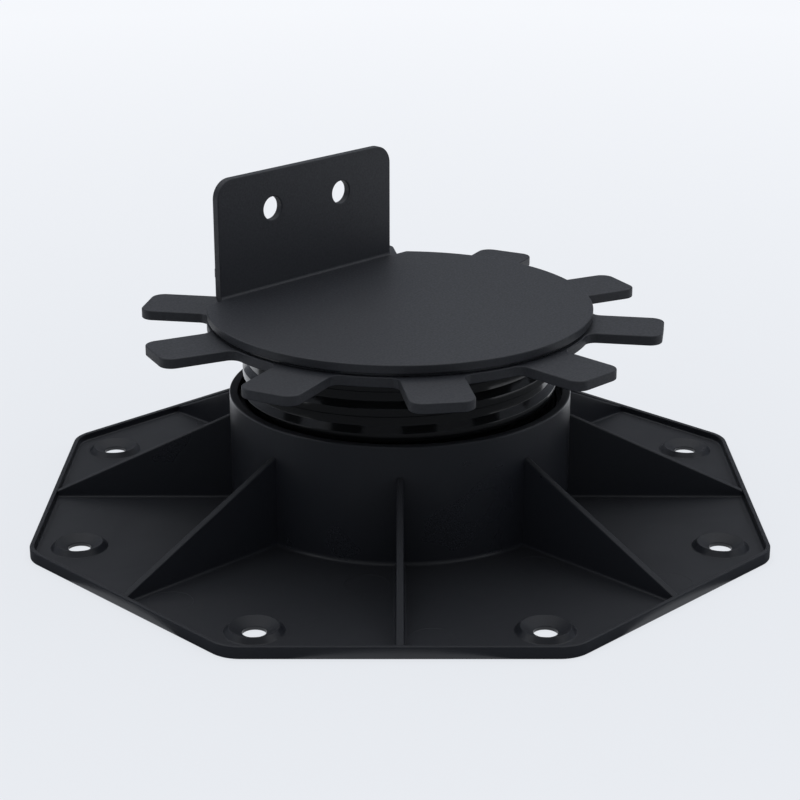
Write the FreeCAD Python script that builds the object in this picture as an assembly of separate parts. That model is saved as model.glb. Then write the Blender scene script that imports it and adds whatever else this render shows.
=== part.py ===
"""Height-adjustable decking pedestal with a swivelling joist bracket.

An octagonal ribbed base carries a wide female buttress thread. A hollow
screw stem runs in it and is turned by a ten-tabbed plate, which a hexagonal
spigot on its top carries round. The joist bracket, a disc with an upright,
swivels above on a slip disc. A stud under it passes through the stem's top
wall and is held there by a washer and a lock nut.

Millimetres. Origin: centre of the base's underside, +Z up. The bracket's
upright stands on the +Y side, with its faces across Y.
"""
import FreeCAD, Part
import math
import os

V = FreeCAD.Vector
UP = V(0, 0, 1)

# Base flange, with one rib to each flat and one hole near each corner
CORNERS = 8
FLATS_SQUARE = 202.6        # across the four flats that face X and Y
FLATS_DIAGONAL = 200.6      # across the four flats between them
CORNER_R = 10.0
PLATE_T = 1.2
RIM_H = 3.4
RIM_W = 1.3
RIM_EDGE = 0.35             # chamfer of its top outer edge

# Threaded boss in the middle of the base
BOSS_WALL = 3.65            # outside the root of its female thread
BOSS_H = 35.0
BOSS_FOOT = 1.0             # flare where it meets the plate
BOSS_EDGE = 0.4             # chamfers of the mouth
MOUTH_WALL = 2.4            # wall of the plain mouth above the thread
MOUTH_DEPTH = 3.0
SKIRT_WALL = 2.4            # wall of the plain skirt below the thread

# Ribs from the boss to the middle of each flat
RIB_T = 1.8
RIB_TOP = 26.5              # where the sloping top meets the boss
RIB_FOOT = 0.7
RIB_DRAFT = 0.3             # degrees a side

# Countersunk fixing holes near the eight corners
HOLE_INSET = 13.4           # centre to the flats, as a mean of the two kinds
HOLE_D = 6.2
HOLE_SINK_D = 12.5
HOLE_SINK_ANGLE = 125.0
HOLE_LIP = 0.2              # flat lip of the raised boss round the countersink
HOLE_BOSS_FLARE = 1.35      # how far the boss's foot stands out from its lip
HOLE_BOSS_H = 2.7

# Single-start buttress thread, right hand, whose nearly level flank carries the load
PITCH = 7.0
THREAD_D = 88.8
THREAD_DEPTH = 1.4
GROOVE_W = 2.65             # floor of the stem's groove between two turns
UPPER_FLANK = 52.0          # slope of the stem's upper flank, out of the level
LOWER_FLANK = 10.0
THREAD_GAP = 0.25           # radial gap, and gap at each flank
THREAD_SINK = 0.5           # how far a ridge is rooted in its wall
THREAD_ANGLE = -135.0       # where the stem's crest is at THREAD_Z
THREAD_Z = 42.95
NUT_THREAD_H = 13.0         # height of the female thread below the mouth

# Screw stem
STEM_LOW = 18.8             # its lower end at rest
STEM_TOP = 53.4
STEM_WALL = 3.0
STEM_CHAMFER = 0.8
TOP_WALL = 4.0

# Hexagonal spigot on the stem, in the turning plate
SPIGOT_AF = 40.0
SPIGOT_GAP = 0.1            # at each side of the hexagon

# Tabbed turning plate
TAB_COUNT = 10
TAB_FIRST_ANGLE = 17.6
TAB_PLATE_T = 2.8
TAB_RING_D = 108.0
TAB_TIP_D = 146.8
TAB_W = 17.0
TAB_CORNER_R = 3.7
TAB_ROOT_R = 3.0

# Slip disc under the bracket
SLIP_D = 106.0
SLIP_T = 0.9

# Joist bracket, one bent sheet
BRACKET_D = 107.8
BRACKET_T = 2.4
UPRIGHT_Y = 37.7            # its face towards the axis
UPRIGHT_W = 67.0
UPRIGHT_TOP = 93.4          # the pedestal's whole height at rest
UPRIGHT_CORNER_R = 5.5
BEND_R = 0.9
BRACKET_HOLE_D = 6.8
BRACKET_HOLE_SPACING = 26.6
BRACKET_HOLE_DROP = 11.1    # centres below the top of the upright

# Pivot through the stem's top wall
STUD_D = 8.0
STUD_GAP = 0.08             # radial running gap in the stem and discs
STUD_TAIL = 1.5             # stud below the lock nut
WASHER_D = 24.0
WASHER_T = 1.6
WASHER_GAP = 0.2
NUT_AF = 13.0
NUT_H = 8.0

# Levels and radii worked out from the sizes above
HOLE_R = ((FLATS_SQUARE + FLATS_DIAGONAL) / 4 - HOLE_INSET) / math.cos(math.pi / CORNERS)
UPPER_SLOPE = math.tan(math.radians(UPPER_FLANK))
LOWER_SLOPE = math.tan(math.radians(LOWER_FLANK))
CREST_W = PITCH - GROOVE_W - THREAD_DEPTH * (UPPER_SLOPE + LOWER_SLOPE)
TAB_PLATE_TOP = STEM_TOP + TAB_PLATE_T
SLIP_TOP = TAB_PLATE_TOP + SLIP_T
BRACKET_TOP = SLIP_TOP + BRACKET_T
BRACKET_HOLE_Z = UPRIGHT_TOP - BRACKET_HOLE_DROP
WALL_LOW = STEM_TOP - TOP_WALL
WASHER_LOW = WALL_LOW - WASHER_T
NUT_LOW = WASHER_LOW - NUT_H
STUD_LOW = NUT_LOW - STUD_TAIL
STEM_ROOT_R = THREAD_D / 2 - THREAD_DEPTH
NUT_ROOT_R = THREAD_D / 2 + THREAD_GAP
NUT_CREST_R = STEM_ROOT_R + THREAD_GAP
BOSS_R = NUT_ROOT_R + BOSS_WALL
STUD_HOLE_R = STUD_D / 2 + STUD_GAP

# What the construction needs, and the real part doesn't show
CUT = 1.0                   # how far a cutter runs past what it cuts
NEAR = 0.01                 # within this, an edge is taken to lie at a level


def polar(radius, degrees, z=0.0):
    angle = math.radians(degrees)
    return V(radius * math.cos(angle), radius * math.sin(angle), z)


def cylinder(radius, low, high, x=0.0, y=0.0):
    return Part.makeCylinder(radius, high - low, V(x, y, low))


def turned(points):
    """Solid of revolution of a closed outline of (radius, z) points."""
    outline = [V(radius, 0, z) for radius, z in points]
    face = Part.Face(Part.makePolygon(outline + outline[:1]))
    return face.revolve(V(0, 0, 0), UP, 360)


def rotated(shape, degrees):
    copy = shape.copy()
    copy.rotate(V(0, 0, 0), UP, degrees)
    return copy


def round_ring(count, shape, first=0.0):
    """Copies of a shape, evenly spaced about Z."""
    return [rotated(shape, first + 360.0 / count * i) for i in range(count)]


def hexagon(across_flats, low, high):
    corners = [polar(across_flats / math.sqrt(3), 60 * i, low) for i in range(7)]
    return Part.Face(Part.makePolygon(corners)).extrude(UP * (high - low))


def octagon(inset, low, high, corner_r):
    """Octagonal prism with rounded corners, inset from the flange's outline."""
    near = FLATS_SQUARE / 2 - inset
    far = FLATS_DIAGONAL / 2 - inset
    step = 2 * math.pi / CORNERS
    corners = []
    for i in range(CORNERS):
        first, second = (near, far) if i % 2 == 0 else (far, near)
        start = step * i
        # two neighbouring flats meet where both of their distances hold
        slant = (second - first * math.cos(step)) / math.sin(step)
        corners.append(V(first * math.cos(start) - slant * math.sin(start),
                         first * math.sin(start) + slant * math.cos(start), low))
    prism = Part.Face(Part.makePolygon(corners + corners[:1])).extrude(UP * (high - low))
    upright = [edge for edge in prism.Edges if edge.BoundBox.ZLength > NEAR]
    return prism.makeFillet(corner_r, upright)


def stem_section(radius):
    """Lowest and highest point of the stem's ridge at a radius, over its crest's middle."""
    depth = THREAD_D / 2 - radius
    return -CREST_W / 2 - depth * LOWER_SLOPE, CREST_W / 2 + depth * UPPER_SLOPE


def nut_section(radius):
    """The same of the female ridge, which fills the groove but for the gap at each flank."""
    low, high = stem_section(radius)
    return (high + THREAD_GAP * math.hypot(1, UPPER_SLOPE),
            low + PITCH - THREAD_GAP * math.hypot(1, LOWER_SLOPE))


def thread_ridge(section, crest_r, root_r, low, high):
    """One whole helical ridge between two levels, from its root to its crest.

    The four corners of its section run along helices of one pitch, and
    neighbouring helices are joined by ruled faces.
    """
    corners = [(crest_r, section(crest_r)[0]), (crest_r, section(crest_r)[1]),
               (root_r, section(root_r)[1]), (root_r, section(root_r)[0])]
    heights = [z for _, z in corners]
    # the ridge starts at the first angle where the whole of it is above low
    first = low - min(heights)
    start = THREAD_ANGLE + 360.0 * (first - THREAD_Z) / PITCH
    rails = []
    for radius, offset in corners:
        rail = Part.makeHelix(PITCH, high - low - max(heights) + min(heights), radius)
        rail.translate(V(0, 0, first + offset))
        rail.rotate(V(0, 0, 0), UP, start)
        rails.append(rail)
    faces = []
    for i in range(4):
        for a, b in zip(rails[i].Edges, rails[(i + 1) % 4].Edges):
            faces.append(Part.makeRuledSurface(a, b))
    for end in (0, -1):
        points = [rail.OrderedVertexes[end].Point for rail in rails]
        faces.append(Part.Face(Part.makePolygon(points + points[:1])))
    shell = Part.makeShell(faces)
    shell.sewShape()
    solid = Part.makeSolid(shell)
    if solid.Volume < 0:
        solid.reverse()
    return solid


def make_rib(flat):
    """One radial rib along +X to a flat, with a flared foot and a sloping top."""
    reach = flat - RIM_W / 2
    inner = BOSS_R - SKIRT_WALL / 2
    half = RIB_T / 2
    foot = half + (RIB_TOP - PLATE_T) * math.tan(math.radians(RIB_DRAFT))
    level = PLATE_T + RIB_FOOT
    side = foot + RIB_FOOT
    section = [V(inner, -side, PLATE_T / 2), V(inner, -side, PLATE_T), V(inner, -foot, level),
               V(inner, -half, RIB_TOP), V(inner, half, RIB_TOP), V(inner, foot, level),
               V(inner, side, PLATE_T), V(inner, side, PLATE_T / 2)]
    bar = Part.Face(Part.makePolygon(section + section[:1])).extrude(V(reach - inner, 0, 0))
    slope = [V(inner, -side, 0), V(reach, -side, 0), V(reach, -side, RIM_H - RIM_EDGE),
             V(flat - RIM_W, -side, RIM_H - RIM_EDGE), V(BOSS_R, -side, RIB_TOP),
             V(inner, -side, RIB_TOP)]
    profile = Part.Face(Part.makePolygon(slope + slope[:1]))
    return bar.common(profile.extrude(V(0, 2 * side, 0)))


def make_hole_boss():
    """Raised cone round one fixing hole, on the axis."""
    top = HOLE_SINK_D / 2 + HOLE_LIP
    foot = top + HOLE_BOSS_FLARE
    return turned([(0, PLATE_T / 2), (foot, PLATE_T / 2), (foot, PLATE_T),
                   (top, HOLE_BOSS_H), (0, HOLE_BOSS_H)])


def make_hole_cutter():
    """Countersink and throat of one fixing hole, on the axis."""
    sink = HOLE_SINK_D / 2
    throat = HOLE_D / 2
    depth = (sink - throat) / math.tan(math.radians(HOLE_SINK_ANGLE / 2))
    above = HOLE_BOSS_H + CUT
    return turned([(0, -CUT), (throat, -CUT), (throat, HOLE_BOSS_H - depth),
                   (sink, HOLE_BOSS_H), (sink, above), (0, above)])


def make_base():
    plate = octagon(0, 0, PLATE_T, CORNER_R)
    rim = octagon(0, 0, RIM_H, CORNER_R)
    top_edges = [edge for edge in rim.Edges if edge.BoundBox.ZMin > RIM_H - NEAR]
    rim = rim.makeChamfer(RIM_EDGE, top_edges)
    rim = rim.cut(octagon(RIM_W, -CUT, RIM_H + CUT, CORNER_R - RIM_W))
    foot = BOSS_R + BOSS_FOOT
    mouth = BOSS_R - MOUTH_WALL
    boss = turned([(0, PLATE_T / 2), (foot, PLATE_T / 2), (foot, PLATE_T),
                   (BOSS_R, PLATE_T + BOSS_FOOT), (BOSS_R, BOSS_H - BOSS_EDGE),
                   (BOSS_R - BOSS_EDGE, BOSS_H), (mouth + BOSS_EDGE, BOSS_H),
                   (mouth, BOSS_H - BOSS_EDGE), (0, BOSS_H - BOSS_EDGE)])
    ribs = round_ring(CORNERS // 2, make_rib(FLATS_SQUARE / 2))
    ribs += round_ring(CORNERS // 2, make_rib(FLATS_DIAGONAL / 2), 360.0 / CORNERS)
    first_hole = 180.0 / CORNERS
    at_hole = V(HOLE_R, 0, 0)
    hole_bosses = round_ring(CORNERS, make_hole_boss().translated(at_hole), first_hole)
    holes = round_ring(CORNERS, make_hole_cutter().translated(at_hole), first_hole)
    skirt = BOSS_R - SKIRT_WALL
    thread_high = BOSS_H - MOUTH_DEPTH
    thread_low = thread_high - NUT_THREAD_H
    bore = turned([(0, -CUT), (skirt, -CUT), (skirt, thread_low - (skirt - NUT_ROOT_R)),
                   (NUT_ROOT_R, thread_low), (NUT_ROOT_R, thread_high),
                   (mouth, thread_high), (mouth, BOSS_H + CUT), (0, BOSS_H + CUT)])
    base = plate.fuse([rim, boss] + ribs + hole_bosses).cut([bore] + holes)
    ridge = thread_ridge(nut_section, NUT_CREST_R, NUT_ROOT_R + THREAD_SINK, thread_low,
                         thread_high)
    return base.fuse(ridge).removeSplitter()


def make_screw_stem():
    """Hollow stem with its ridge, closed by a top wall with a spigot."""
    bore = STEM_ROOT_R - STEM_WALL
    core = turned([(bore, STEM_LOW), (STEM_ROOT_R - STEM_CHAMFER, STEM_LOW),
                   (STEM_ROOT_R, STEM_LOW + STEM_CHAMFER), (STEM_ROOT_R, STEM_TOP),
                   (0, STEM_TOP), (0, WALL_LOW), (bore, WALL_LOW)])
    spigot = hexagon(SPIGOT_AF, STEM_TOP - TOP_WALL / 2, TAB_PLATE_TOP)
    # the ridge runs on past the top, which cuts it off
    ridge = thread_ridge(stem_section, THREAD_D / 2, STEM_ROOT_R - THREAD_SINK,
                         STEM_LOW + STEM_CHAMFER, STEM_TOP + PITCH)
    ridge = ridge.common(cylinder(THREAD_D, STEM_LOW, STEM_TOP))
    stem = core.fuse([spigot, ridge])
    stud_hole = cylinder(STUD_HOLE_R, WALL_LOW - CUT, TAB_PLATE_TOP + CUT)
    return stem.cut(stud_hole).removeSplitter()


def make_tab_plate():
    """Flat plate whose tabs have round corners and concave roots.

    Each tab adds a root, a side, a corner, the tip, a corner, a side, a root
    and the arc of the ring that follows it to the outline.
    """
    ring = TAB_RING_D / 2
    half = TAB_W / 2
    tip = TAB_TIP_D / 2
    root = TAB_ROOT_R
    corner = TAB_CORNER_R
    # the root's centre is one root radius off both the ring and the tab's side
    centre = V(math.sqrt((ring + root) ** 2 - (half + root) ** 2), half + root, 0)
    on_ring = centre * (ring / (ring + root))
    on_side = V(centre.x, half, 0)
    middle = centre + (on_ring + on_side - centre * 2).normalize() * root
    bulge = corner * (1 - math.sqrt(0.5))
    upper = [on_ring, middle, on_side, V(tip - corner, half, 0),
             V(tip - bulge, half - bulge, 0), V(tip, half - corner, 0)]
    lower = [V(point.x, -point.y, 0) for point in upper]
    between = math.radians(180.0 / TAB_COUNT)
    gap_middle = V(ring * math.cos(between), ring * math.sin(between), 0)
    step = 360.0 / TAB_COUNT
    turn = FreeCAD.Rotation(UP, step)
    edges = [Part.Arc(*lower[:3]).toShape(), Part.makeLine(lower[2], lower[3]),
             Part.Arc(*lower[3:]).toShape(), Part.makeLine(lower[5], upper[5]),
             Part.Arc(*upper[:2:-1]).toShape(), Part.makeLine(upper[3], upper[2]),
             Part.Arc(*upper[2::-1]).toShape(),
             Part.Arc(on_ring, gap_middle, turn.multVec(lower[0])).toShape()]
    outline = []
    for i in range(TAB_COUNT):
        outline += [rotated(edge, TAB_FIRST_ANGLE + step * i) for edge in edges]
    face = Part.Face(Part.Wire(outline))
    plate = face.extrude(UP * TAB_PLATE_T).translated(V(0, 0, STEM_TOP))
    return plate.cut(hexagon(SPIGOT_AF + 2 * SPIGOT_GAP, STEM_TOP - CUT, TAB_PLATE_TOP + CUT))


def make_slip_disc():
    disc = cylinder(SLIP_D / 2, TAB_PLATE_TOP, SLIP_TOP)
    return disc.cut(cylinder(STUD_HOLE_R, TAB_PLATE_TOP - CUT, SLIP_TOP + CUT))


def make_joist_bracket():
    """Disc cut by a chord, bent up there into an upright with two holes."""
    bend_y = UPRIGHT_Y - BEND_R
    back_y = UPRIGHT_Y + BRACKET_T
    half = UPRIGHT_W / 2
    disc = cylinder(BRACKET_D / 2, SLIP_TOP, BRACKET_TOP)
    beyond = Part.makeBox(BRACKET_D, BRACKET_D, BRACKET_T + 2 * CUT,
                          V(-BRACKET_D / 2, bend_y, SLIP_TOP - CUT))
    disc = disc.cut(beyond)
    centre_z = BRACKET_TOP + BEND_R
    # the middle of each arc of the bend is at 45 degrees
    inner = BEND_R * math.sqrt(0.5)
    outer = (BEND_R + BRACKET_T) * math.sqrt(0.5)
    inside = Part.Arc(V(-half, bend_y, BRACKET_TOP), V(-half, bend_y + inner, centre_z - inner),
                      V(-half, UPRIGHT_Y, centre_z)).toShape()
    outside = Part.Arc(V(-half, back_y, centre_z), V(-half, bend_y + outer, centre_z - outer),
                       V(-half, bend_y, SLIP_TOP)).toShape()
    up = Part.makePolygon([V(-half, UPRIGHT_Y, centre_z), V(-half, UPRIGHT_Y, UPRIGHT_TOP),
                           V(-half, back_y, UPRIGHT_TOP), V(-half, back_y, centre_z)])
    start = Part.makePolygon([V(-half, bend_y, SLIP_TOP), V(-half, bend_y, BRACKET_TOP)])
    fold = Part.Face(Part.Wire([inside, up, outside, start])).extrude(V(UPRIGHT_W, 0, 0))
    corners = [edge for edge in fold.Edges
               if edge.BoundBox.ZMin > UPRIGHT_TOP - NEAR and edge.BoundBox.XLength < NEAR]
    fold = fold.makeFillet(UPRIGHT_CORNER_R, corners)
    bracket = disc.fuse(fold).removeSplitter()
    holes = []
    for side in (-1, 1):
        start = V(side * BRACKET_HOLE_SPACING / 2, UPRIGHT_Y - CUT, BRACKET_HOLE_Z)
        depth = BRACKET_T + 2 * CUT
        holes.append(Part.makeCylinder(BRACKET_HOLE_D / 2, depth, start, V(0, 1, 0)))
    return bracket.cut(holes)


def make_pivot_stud():
    """Stud that is welded by its flat end to the middle of the bracket."""
    return cylinder(STUD_D / 2, STUD_LOW, SLIP_TOP)


def make_pivot_washer():
    washer = cylinder(WASHER_D / 2, WASHER_LOW, WALL_LOW)
    return washer.cut(cylinder(STUD_D / 2 + WASHER_GAP, WASHER_LOW - CUT, WALL_LOW + CUT))


def make_lock_nut():
    nut = hexagon(NUT_AF, NUT_LOW, WASHER_LOW)
    return nut.cut(cylinder(STUD_D / 2, NUT_LOW - CUT, WASHER_LOW + CUT))


def main():
    os.makedirs("parts", exist_ok=True)
    pieces = {
        "base": make_base(),
        "screw_stem": make_screw_stem(),
        "tab_plate": make_tab_plate(),
        "slip_disc": make_slip_disc(),
        "joist_bracket": make_joist_bracket(),
        "pivot_stud": make_pivot_stud(),
        "pivot_washer": make_pivot_washer(),
        "lock_nut": make_lock_nut(),
    }
    for node, shape in pieces.items():
        shape.exportStep("parts/%s.step" % node)


if __name__ == "__main__":
    main()
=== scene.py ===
"""Looks of a height-adjustable decking pedestal.

The moulded base, the threaded stem, the tabbed plate, the slip disc and the
bent joist bracket are surfaces worked out with numpy over the CAD frame.
The hidden fasteners keep their CAD meshes. All lengths are in metres.
"""

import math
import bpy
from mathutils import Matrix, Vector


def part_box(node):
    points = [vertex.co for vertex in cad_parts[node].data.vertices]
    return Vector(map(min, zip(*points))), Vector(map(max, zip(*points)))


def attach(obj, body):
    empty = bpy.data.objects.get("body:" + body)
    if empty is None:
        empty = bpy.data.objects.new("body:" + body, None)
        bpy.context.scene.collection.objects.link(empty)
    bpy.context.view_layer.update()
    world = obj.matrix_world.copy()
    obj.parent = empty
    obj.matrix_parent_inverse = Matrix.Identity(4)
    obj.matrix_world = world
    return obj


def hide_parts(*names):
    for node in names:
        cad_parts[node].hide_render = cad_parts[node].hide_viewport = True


bl_info = {
    "name": "Decking Pedestal",
    "version": (1, 0, 0),
    "blender": (4, 5, 0),
    "location": "View3D > Sidebar > Pedestal",
    "description": "Builds the dressed pieces of an adjustable decking pedestal and its stage",
    "category": "Object",
}

import bmesh
import bpy
import numpy as np
from bpy.props import FloatProperty, FloatVectorProperty, IntProperty, PointerProperty
from mathutils import Vector
from mathutils.geometry import tessellate_polygon

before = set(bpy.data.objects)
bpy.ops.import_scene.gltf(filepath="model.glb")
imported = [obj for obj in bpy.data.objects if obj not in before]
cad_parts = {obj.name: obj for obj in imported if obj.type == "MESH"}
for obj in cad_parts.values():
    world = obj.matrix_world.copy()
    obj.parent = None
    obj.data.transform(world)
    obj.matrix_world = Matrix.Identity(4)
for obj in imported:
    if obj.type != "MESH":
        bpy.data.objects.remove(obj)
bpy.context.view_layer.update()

MM = 0.001
HOLD = 0.12 * MM            # flat strip that keeps a soft edge's shading off the flat beside it
WELD = 0.002 * MM           # points nearer than this become one
ARC_STEPS = 4               # facets in a quarter of a soft edge
TURN = 288                  # facets round the axis
FIXING_HOLE_TURN = 96       # facets round a fixing hole
SCREW_HOLE_TURN = 72        # facets round a hole of the upright
SMALL_TURN = 64             # facets round an ejector mark or the stud's hole
SMOOTH_BELOW = math.radians(32.0)
MIX_SHARE, MIX_A, MIX_B, MIX_OUT = 0, 6, 7, 2   # sockets of a Mix node that mixes colours
NOISE_LOW, NOISE_HIGH = 0.3, 0.7    # nearly all of a noise's values lie between these
FADE_START = 0.1                    # from the axis to where the floor starts to pale


def node_low(node):
    """Height of a CAD node's underside."""
    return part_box(node)[0].z


def node_high(node):
    """Height of a CAD node's top."""
    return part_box(node)[1].z


def node_width(node):
    """Size of a CAD node along X."""
    low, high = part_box(node)
    return high.x - low.x


def length(name, description, default):
    """Property of one length, with its default in metres."""
    return FloatProperty(name=name, description=description, default=default, min=0.0,
                         unit="LENGTH", precision=5)


def angle(name, description, degrees):
    """Property of one angle, with its default in degrees."""
    return FloatProperty(name=name, description=description, default=math.radians(degrees),
                         unit="ROTATION")


def linear(hex_value):
    """Linear RGBA of an sRGB hex value."""
    levels = np.array([int(hex_value[i:i + 2], 16) for i in (1, 3, 5)]) / 255.0
    low = levels / 12.92
    high = ((levels + 0.055) / 1.055) ** 2.4
    return (*np.where(levels <= 0.04045, low, high).tolist(), 1.0)


def colour(name, description, hex_value):
    """Property of one colour, with its default as an sRGB hex value."""
    return FloatVectorProperty(name=name, description=description, subtype="COLOR", size=4,
                               min=0.0, max=1.0, default=linear(hex_value))


class BaseSizes(bpy.types.PropertyGroup):
    """Sizes of the moulded base."""

    corners: IntProperty(name="Corners", description="Corners of the flange", default=8, min=4)
    flats_square: length("Flats across X", "Across the flats that face X and Y",
                         node_width("base"))
    flats_diagonal: length("Diagonal flats", "Across the flats between them", 200.6 * MM)
    corner_r: length("Corner radius", "Radius of the flange's corners", 10.0 * MM)
    plate_t: length("Plate", "Thickness of the flange", 1.2 * MM)
    rim_h: length("Rim height", "Top of the raised rim", 3.4 * MM)
    rim_w: length("Rim width", "Width of the raised rim", 1.3 * MM)
    rim_soft: length("Rim edge", "Radius of the rim's top edges", 0.42 * MM)
    boss_r: length("Boss radius", "Outside radius of the threaded boss", 48.3 * MM)
    boss_h: length("Boss height", "Top of the threaded boss", node_high("base"))
    boss_foot: length("Boss foot", "Fillet between the boss and the plate", 1.0 * MM)
    boss_soft: length("Boss edge", "Radius of the boss's top edges", 0.45 * MM)
    mouth_wall: length("Mouth wall", "Wall of the plain mouth above the thread", 2.4 * MM)
    mouth_depth: length("Mouth depth", "Depth of the plain mouth", 3.0 * MM)
    skirt_wall: length("Skirt wall", "Wall of the boss below its thread", 2.4 * MM)
    thread_h: length("Thread height", "Height of the female thread", 13.0 * MM)
    rib_t: length("Rib", "Thickness of a rib at its top", 1.8 * MM)
    rib_top: length("Rib top", "Height at which a rib meets the boss", 26.5 * MM)
    rib_foot: length("Rib foot", "Fillet between a rib and the plate", 0.7 * MM)
    rib_soft: length("Rib edge", "Radius of a rib's top edges", 0.4 * MM)
    rib_draft: angle("Rib draft", "Draft of each side of a rib", 0.3)
    hole_inset: length("Hole inset", "From the flats to a fixing hole", 13.4 * MM)
    hole_d: length("Hole", "Diameter of a fixing hole", 6.2 * MM)
    sink_d: length("Countersink", "Diameter of its countersink", 12.5 * MM)
    sink_angle: angle("Countersink angle", "Whole angle of the countersink", 125.0)
    hole_lip: length("Hole lip", "Width of the lip round the countersink", 0.2 * MM)
    hole_flare: length("Hole flare", "How far the raised boss's foot stands out", 1.35 * MM)
    hole_h: length("Hole boss", "Top of the raised boss round a hole", 2.7 * MM)
    mark_d: length("Ejector mark", "Diameter of an ejector pin's mark", 12.0 * MM)
    mark_depth: length("Mark depth", "Depth of an ejector pin's mark", 0.05 * MM)


class StemSizes(bpy.types.PropertyGroup):
    """Sizes of the screw stem and its buttress thread."""

    pitch: length("Pitch", "Height from one turn of the ridge to the next", 7.0 * MM)
    thread_d: length("Thread", "Outside diameter of the thread", 88.8 * MM)
    depth: length("Thread depth", "Height of the ridge over the core", 1.4 * MM)
    groove_w: length("Groove", "Floor of the groove between two turns", 2.65 * MM)
    upper_flank: angle("Upper flank", "Slope of the ridge's upper side, out of the level", 52.0)
    lower_flank: angle("Lower flank", "Slope of its lower side, out of the level", 10.0)
    gap: length("Thread gap", "Running gap between the two threads", 0.25 * MM)
    soft: length("Ridge edge", "Radius of a ridge's edges", 0.32 * MM)
    phase: angle("Thread angle", "Where the crest's middle is at the thread height", -135.0)
    phase_z: length("Thread height", "Height of the crest's middle at that angle", 42.95 * MM)
    top: length("Shoulder", "Top of the threaded part", node_low("tab_plate"))
    wall: length("Wall", "Wall of the stem under the thread", 3.0 * MM)
    top_wall: length("Top wall", "Thickness of the stem's closed top", 4.0 * MM)
    chamfer: length("Lower edge", "Chamfer of the lower end", 0.8 * MM)
    spigot_af: length("Spigot", "Across the flats of the hexagonal spigot", 40.0 * MM)
    stud_r: length("Stud hole", "Radius of the hole for the pivot stud", 4.08 * MM)


class TabPlateSizes(bpy.types.PropertyGroup):
    """Sizes of the tabbed turning plate."""

    tabs: IntProperty(name="Tabs", description="Tabs round the plate", default=10, min=3)
    first: angle("First tab", "Direction of the first tab", 17.6)
    ring_d: length("Ring", "Diameter of the plate between the tabs", 108.0 * MM)
    tip_d: length("Tips", "Diameter over the tabs' tips", 146.8 * MM)
    tab_w: length("Tab width", "Width of a tab", 17.0 * MM)
    corner_r: length("Tab corner", "Radius of a tab's corners", 3.7 * MM)
    root_r: length("Tab root", "Radius beside a tab's root", 3.0 * MM)
    spigot_gap: length("Spigot gap", "Gap round the hexagonal spigot", 0.1 * MM)
    soft: length("Edge", "Radius of the cut sheet's coated edges", 0.32 * MM)


class BracketSizes(bpy.types.PropertyGroup):
    """Sizes of the slip disc and the bent joist bracket."""

    sheet_t: length("Sheet", "Thickness of the bracket's sheet", 2.4 * MM)
    upright_y: length("Upright", "From the axis to the upright's face",
                      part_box("joist_bracket")[1].y - 2.4 * MM)
    upright_w: length("Upright width", "Width of the upright", 67.0 * MM)
    upright_corner: length("Upright corner", "Radius of its top corners", 5.5 * MM)
    bend_r: length("Bend", "Inside radius of the bend", 0.9 * MM)
    hole_d: length("Screw hole", "Diameter of a screw hole", 6.8 * MM)
    hole_spacing: length("Hole spacing", "Between the two screw holes", 26.6 * MM)
    hole_drop: length("Hole drop", "Centres below the top of the upright", 11.1 * MM)
    chord_corner: length("Chord corner", "Radius where the disc's arc meets its chord",
                         0.8 * MM)
    soft: length("Edge", "Radius of the cut sheet's coated edges", 0.3 * MM)
    slip_soft: length("Slip edge", "Radius of the slip disc's edge", 0.12 * MM)


class Finishes(bpy.types.PropertyGroup):
    """Colours of the pieces and the stage."""

    base_black: colour("Base", "Moulded polypropylene of the base", "#1C1E23")
    stem_black: colour("Stem", "Moulded polyamide of the stem", "#08090A")
    coat_black: colour("Powder coat", "Textured powder coat on the sheet steel", "#25272C")
    slip_black: colour("Slip disc", "Calendered polyethylene sheet", "#1E2024")
    zinc: colour("Zinc", "Zinc plate on the fasteners", "#C4C6C8")
    floor_near: colour("Floor, near", "Floor under the pedestal", "#E9ECF1")
    # Painted dark reflections: the two card colours below show only in the gloss of the pieces, on
    # cards that the camera doesn't see and that neither light nor shade anything.
    reflection_card_dark: colour("Dark cards", "Cards near the base and round the camera", "#636568")
    reflection_card_grey: colour("Grey screen", "Screen round the back", "#8C8F95")
    floor_far: colour("Floor, far", "Floor and backdrop far away", "#F9FBFF")


class StageSizes(bpy.types.PropertyGroup):
    """Camera, floor and light."""

    camera_x: FloatProperty(name="Camera X", description="Place of the camera",
                            default=-0.3764, unit="LENGTH")
    camera_y: FloatProperty(name="Camera Y", description="Place of the camera",
                            default=-0.3764, unit="LENGTH")
    camera_z: length("Camera height", "Height of the camera", 0.2238)
    heading: angle("Heading", "Direction of the view in plan", 45.0)
    pitch: angle("Pitch", "How far the view looks down", 19.947)
    lens: FloatProperty(name="Lens", description="Focal length in millimetres", default=89.47,
                        unit="CAMERA")
    floor_size: length("Floor", "Side of the floor", 16.0)
    floor_fade: length("Floor fade", "Distance at which the floor has its far colour", 0.9)
    floor_even: FloatProperty(name="Floor light", description="Share of even light in the floor",
                              default=0.85, min=0.0, max=1.0)
    card_spread: angle("Card spread", "How far the near card reaches round to each side", 118.0)
    screen_spread: angle("Screen spread", "How far the far card reaches round", 62.0)
    card_near: length("Card near", "From the axis to the near card", 0.104)
    card_middle: length("Card middle", "From the axis to where the far card starts", 0.2)
    screen_out: length("Screens", "From the axis to the standing screens", 0.75)
    screen_top: length("Screen top", "Top of the dark screen", 1.6)
    grey_top: length("Grey top", "Top of the grey screen", 0.6)
    card_lift: length("Card lift", "Height of the flat cards over the floor", 0.0002)
    key_power: FloatProperty(name="Key light", description="Power of the light overhead",
                             default=6.5, min=0.0, unit="POWER")
    fill_power: FloatProperty(name="Fill light", description="Power of the light from the right",
                              default=1.2, min=0.0, unit="POWER")
    room_light: FloatProperty(name="Room light", description="Strength of the light all round",
                              default=0.66, min=0.0)


# Outlines and profiles


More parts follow.
